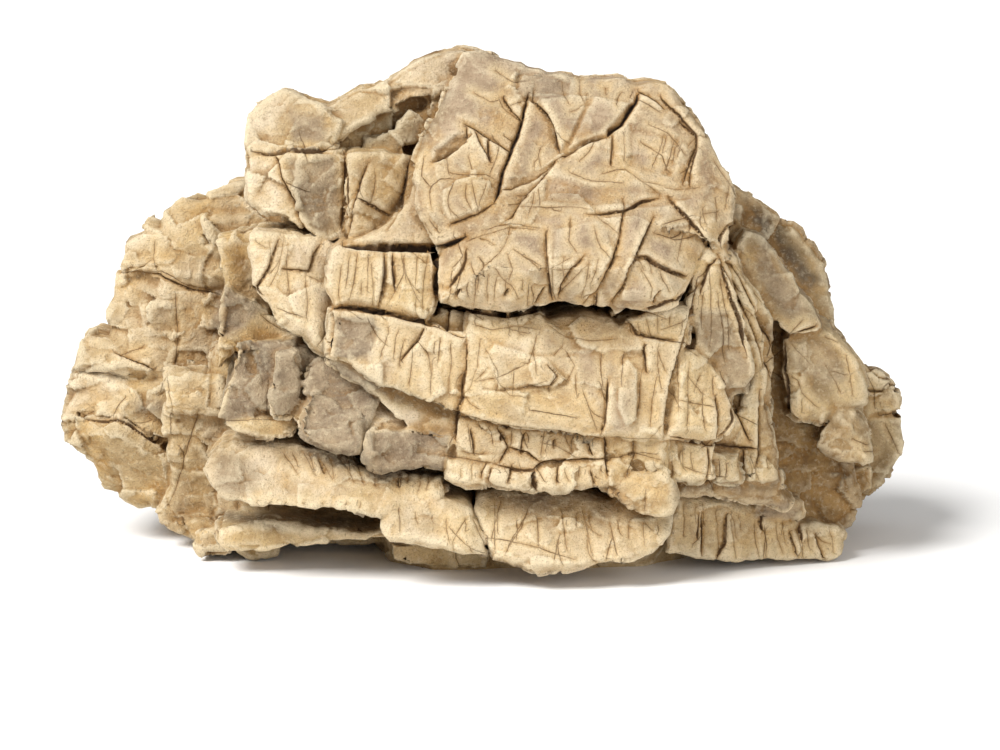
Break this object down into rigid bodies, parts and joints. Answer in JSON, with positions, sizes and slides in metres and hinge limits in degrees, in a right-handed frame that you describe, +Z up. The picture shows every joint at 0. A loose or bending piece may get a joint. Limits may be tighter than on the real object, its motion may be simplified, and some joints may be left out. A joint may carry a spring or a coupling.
{
  "type": "pagoda rock",
  "caption": "Broad, thin-bedded limestone rock with stacked ledges and cracked faces, for an aquarium, terrarium or garden scene. It stands on its own flat underside.",
  "frame": {"origin": "middle of the bounding box's bottom, on the surface that the rock stands on", "axes": "+X to the right along the rock's length, +Y from its finished front to its back, +Z up"},
  "size_m": [0.243, 0.118, 0.1428],
  "materials": {
    "stone": "matt weathered limestone, cream skin with grey fresh faces and rust-coloured joints"
  },
  "bodies": {
    "root": {"pagoda_rock": "stone"}
  },
  "joints": []
}
